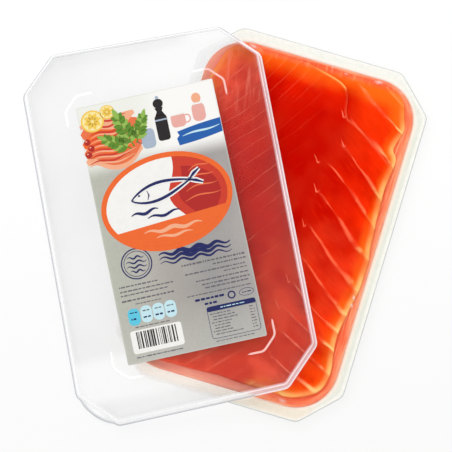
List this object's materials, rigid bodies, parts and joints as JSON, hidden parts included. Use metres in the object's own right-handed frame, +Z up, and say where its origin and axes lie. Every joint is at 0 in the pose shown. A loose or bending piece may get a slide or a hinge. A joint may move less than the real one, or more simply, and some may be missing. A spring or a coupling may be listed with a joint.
{
  "type": "pack of smoked salmon",
  "caption": "Sealed shallow tray of sliced smoked salmon under clear film, with its frosted press-on lid and plain label lying turned and half across it.",
  "frame": {"origin": "middle of the whole footprint, on the table plane that the tray stands on", "axes": "+Z up; +X to the right and +Y to the top of the picture, which looks down on the flat pack from 80 degrees up"},
  "size_m": [0.2634, 0.261, 0.0205],
  "materials": {
    "tray_plastic": "clear thermoformed plastic sheet, faintly cream",
    "salmon": "moist cured fish flesh, deep orange-red with pale fat lines",
    "film": "clear glossy sealing film",
    "lid_plastic": "frosted translucent plastic with satin gloss",
    "label_paper": "satin silver-grey printed paper"
  },
  "bodies": {
    "root": {"tray": "tray_plastic", "salmon_lower_slices": "salmon", "salmon_second_slice": "salmon", "salmon_top_slice": "salmon", "top_film": "film", "lid": "lid_plastic", "label": "label_paper"}
  },
  "joints": []
}
